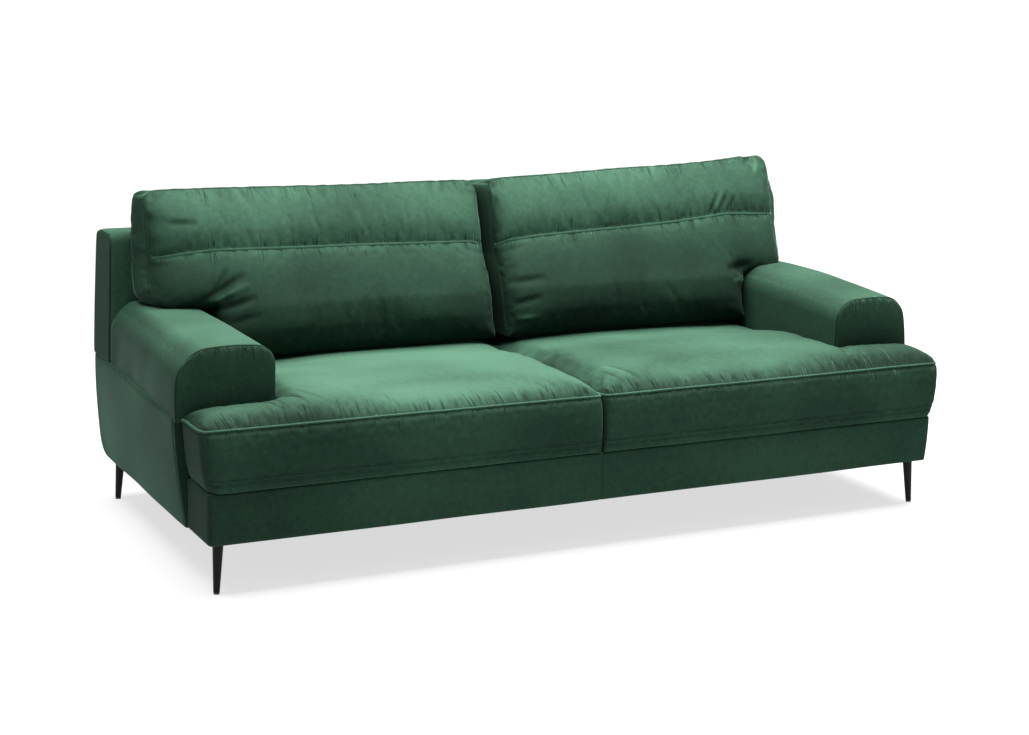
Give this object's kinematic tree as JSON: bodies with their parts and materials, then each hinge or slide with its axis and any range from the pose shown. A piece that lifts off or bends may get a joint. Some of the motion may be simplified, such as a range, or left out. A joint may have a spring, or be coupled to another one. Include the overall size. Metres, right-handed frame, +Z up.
{
  "type": "sofa",
  "caption": "Wide upholstered velvet sofa with seat cushions that pass in front of low block arms, loose back cushions with ears over the arms, and slim tapered legs.",
  "frame": {"origin": "on the floor, under the middle of the sofa's outer box", "axes": "+X to the right seen from the front, along the length; the front faces -Y; +Z up from the floor"},
  "size_m": [2.2, 1.015, 0.9],
  "materials": {
    "velvet": "dense short-pile velvet, deep forest green, with a pale green sheen where the pile catches light",
    "black_wood": "turned hardwood under opaque satin black lacquer",
    "beech": "planed, unfinished, hidden",
    "plywood": "sawn birch plywood, hidden",
    "steel": "zinc-plated plate and spring wire",
    "foam": "open-cell upholstery foam, matt",
    "felt": "grey needled felt",
    "webbing": "woven elastic webbing",
    "nonwoven": "thin black non-woven cloth"
  },
  "bodies": {
    "root": {"arm_cover_left": "velvet", "arm_cover_right": "velvet", "arm_foam_left": "foam", "arm_foam_right": "foam", "arm_inner_board_left": "plywood", "arm_inner_board_right": "plywood", "arm_outer_board_left": "plywood", "arm_outer_board_right": "plywood", "arm_top_board_left": "plywood", "arm_top_board_right": "plywood", "back_cover": "velvet", "back_cushion_core_left": "foam", "back_cushion_core_right": "foam", "back_cushion_cover_left": "velvet", "back_cushion_cover_right": "velvet", "back_foam": "foam", "back_lower_rail": "beech", "back_post_centre": "beech", "back_post_left": "beech", "back_post_right": "beech", "back_top_rail": "beech", "back_webbing_1": "webbing", "back_webbing_2": "webbing", "corner_block_front_left": "beech", "corner_block_front_right": "beech", "corner_block_rear_left": "beech", "corner_block_rear_right": "beech", "dust_cloth": "nonwoven", "glide_front_left": "felt", "glide_front_right": "felt", "glide_rear_left": "felt", "glide_rear_right": "felt", "leg_front_left": "black_wood", "leg_front_right": "black_wood", "leg_plate_front_left": "steel", "leg_plate_front_right": "steel", "leg_plate_rear_left": "steel", "leg_plate_rear_right": "steel", "leg_rear_left": "black_wood", "leg_rear_right": "black_wood", "plinth_cover": "velvet", "rail_centre": "beech", "rail_front": "beech", "rail_left": "beech", "rail_rear": "beech", "rail_right": "beech", "rear_panel": "velvet", "seat_core_left": "foam", "seat_core_right": "foam", "seat_cover_left": "velvet", "seat_cover_right": "velvet", "seat_spring_1": "steel", "seat_spring_2": "steel", "seat_spring_3": "steel", "seat_spring_4": "steel", "seat_spring_5": "steel", "seat_spring_6": "steel", "side_panel_left": "velvet", "side_panel_right": "velvet", "spring_felt": "felt"}
  },
  "joints": []
}
